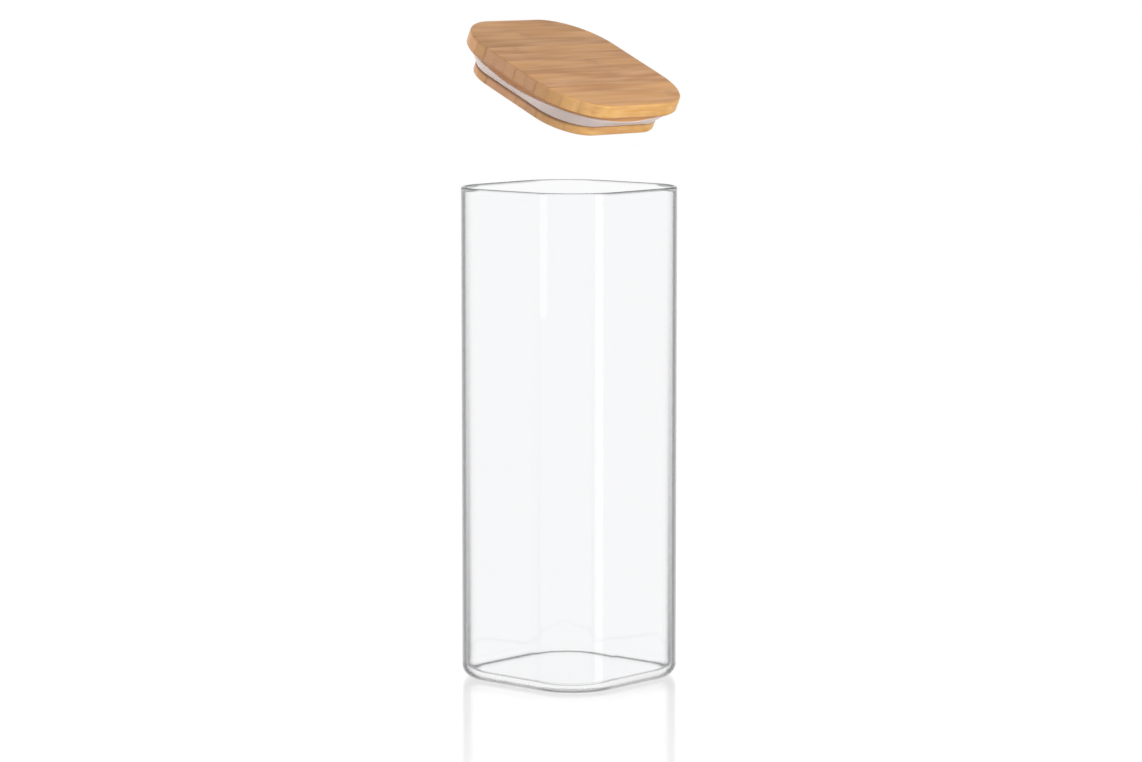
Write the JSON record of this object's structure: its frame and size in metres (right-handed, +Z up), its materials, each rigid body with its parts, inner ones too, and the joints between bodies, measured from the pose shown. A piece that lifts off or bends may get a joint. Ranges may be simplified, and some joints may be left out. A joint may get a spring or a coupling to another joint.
{
  "type": "glass storage jar",
  "caption": "Square clear glass canister with round corners and a laminated bamboo plug lid, which carries a silicone seal in its groove.",
  "frame": {"origin": "centre of the underside of the glass base, on the surface that the jar stands on", "axes": "+Z up along the jar's axis; X along the bamboo strips of the lid; -Y is the side that the open lid dips towards"},
  "size_m": [0.102, 0.1008, 0.353],
  "materials": {
    "glass": "clear, fire-polished",
    "bamboo": "sanded and oiled, satin",
    "silicone": "translucent, matte"
  },
  "bodies": {
    "jar": {"glass_jar": "glass"},
    "lid": {"bamboo_stave_01": "bamboo", "bamboo_stave_02": "bamboo", "bamboo_stave_03": "bamboo", "bamboo_stave_04": "bamboo", "bamboo_stave_05": "bamboo", "bamboo_stave_06": "bamboo", "bamboo_stave_07": "bamboo", "bamboo_stave_08": "bamboo", "bamboo_stave_09": "bamboo", "bamboo_stave_10": "bamboo", "bamboo_stave_11": "bamboo", "bamboo_stave_12": "bamboo", "bamboo_stave_13": "bamboo", "silicone_seal": "silicone"}
  },
  "joints": [
    {"name": "lid_swing", "type": "hinge", "parent": "jar", "child": "lid", "pos_m": [0, -0.133, 0.2918], "axis": [1, 0, 0], "range_deg": [-25, 0]}
  ]
}
